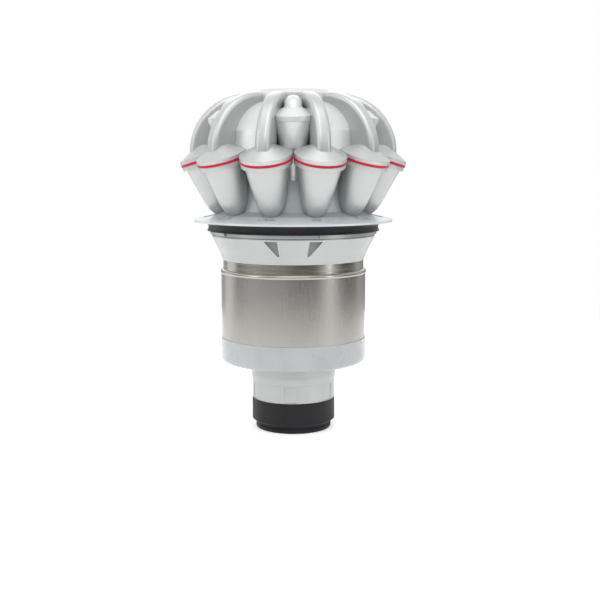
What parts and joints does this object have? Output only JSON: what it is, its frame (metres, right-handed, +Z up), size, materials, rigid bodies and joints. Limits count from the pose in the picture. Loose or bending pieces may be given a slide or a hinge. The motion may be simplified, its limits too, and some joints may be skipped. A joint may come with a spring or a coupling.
{
  "type": "cyclone separator pack",
  "caption": "Cyclone separator pack with tilted cones under arched air ducts, a flange with a bin seal, a steel mesh shroud and a sealed dust tube.",
  "frame": {"origin": "centre of the base seal's lower face, on the pack's axis", "axes": "+Z up along the pack's axis, +Y to the rear through the air outlet, -Y to the front"},
  "size_m": [0.131, 0.1263, 0.1985],
  "materials": {
    "silver_plastic": "satin metallic silver",
    "blue_grey_plastic": "satin",
    "light_grey_plastic": "satin",
    "clear_skirt": "translucent milky",
    "shroud_steel": "finely perforated, brushed",
    "screw_steel": "bright zinc",
    "black_rubber": "matt",
    "red_gasket": "satin",
    "filter_felt": "needled felt",
    "filter_cap_plastic": "satin",
    "filter_frame_plastic": "satin",
    "finder_plastic": "satin"
  },
  "bodies": {
    "cyclone_pack": {"base_seal": "black_rubber", "bin_seal": "black_rubber", "cap_gasket": "red_gasket", "collar": "light_grey_plastic", "cone_carrier": "blue_grey_plastic", "dome_covers": "silver_plastic", "dust_funnel": "light_grey_plastic", "dust_tube": "light_grey_plastic", "filter_sleeve": "light_grey_plastic", "flange_plate": "blue_grey_plastic", "inner_cone_1": "silver_plastic", "inner_cone_2": "silver_plastic", "inner_cone_3": "silver_plastic", "inner_cone_4": "silver_plastic", "inner_cone_5": "silver_plastic", "inner_duct_1": "silver_plastic", "inner_duct_2": "silver_plastic", "inner_duct_3": "silver_plastic", "inner_duct_4": "silver_plastic", "inner_duct_5": "silver_plastic", "inner_vortex_finders": "finder_plastic", "manifold": "silver_plastic", "outer_cone_01": "silver_plastic", "outer_cone_02": "silver_plastic", "outer_cone_03": "silver_plastic", "outer_cone_04": "silver_plastic", "outer_cone_05": "silver_plastic", "outer_cone_06": "silver_plastic", "outer_cone_07": "silver_plastic", "outer_cone_08": "silver_plastic", "outer_cone_09": "silver_plastic", "outer_cone_10": "silver_plastic", "outer_duct_01": "silver_plastic", "outer_duct_02": "silver_plastic", "outer_duct_03": "silver_plastic", "outer_duct_04": "silver_plastic", "outer_duct_05": "silver_plastic", "outer_duct_06": "silver_plastic", "outer_duct_07": "silver_plastic", "outer_duct_08": "silver_plastic", "outer_duct_09": "silver_plastic", "outer_duct_10": "silver_plastic", "outer_vortex_finders": "finder_plastic", "outlet_duct": "silver_plastic", "outlet_gasket": "black_rubber", "shroud_band": "shroud_steel", "shroud_cage": "light_grey_plastic", "shroud_floor": "light_grey_plastic", "shroud_mesh": "shroud_steel", "shroud_skirt": "clear_skirt", "spine": "blue_grey_plastic", "spine_screws": "screw_steel"},
    "filter": {"filter_cap": "filter_cap_plastic", "filter_frame": "filter_frame_plastic", "filter_seal": "black_rubber", "filter_sock": "filter_felt"}
  },
  "joints": [
    {"name": "filter_lift", "type": "slide", "parent": "cyclone_pack", "child": "filter", "axis": [0, 0, 1], "range_m": [0, 0.1]}
  ]
}
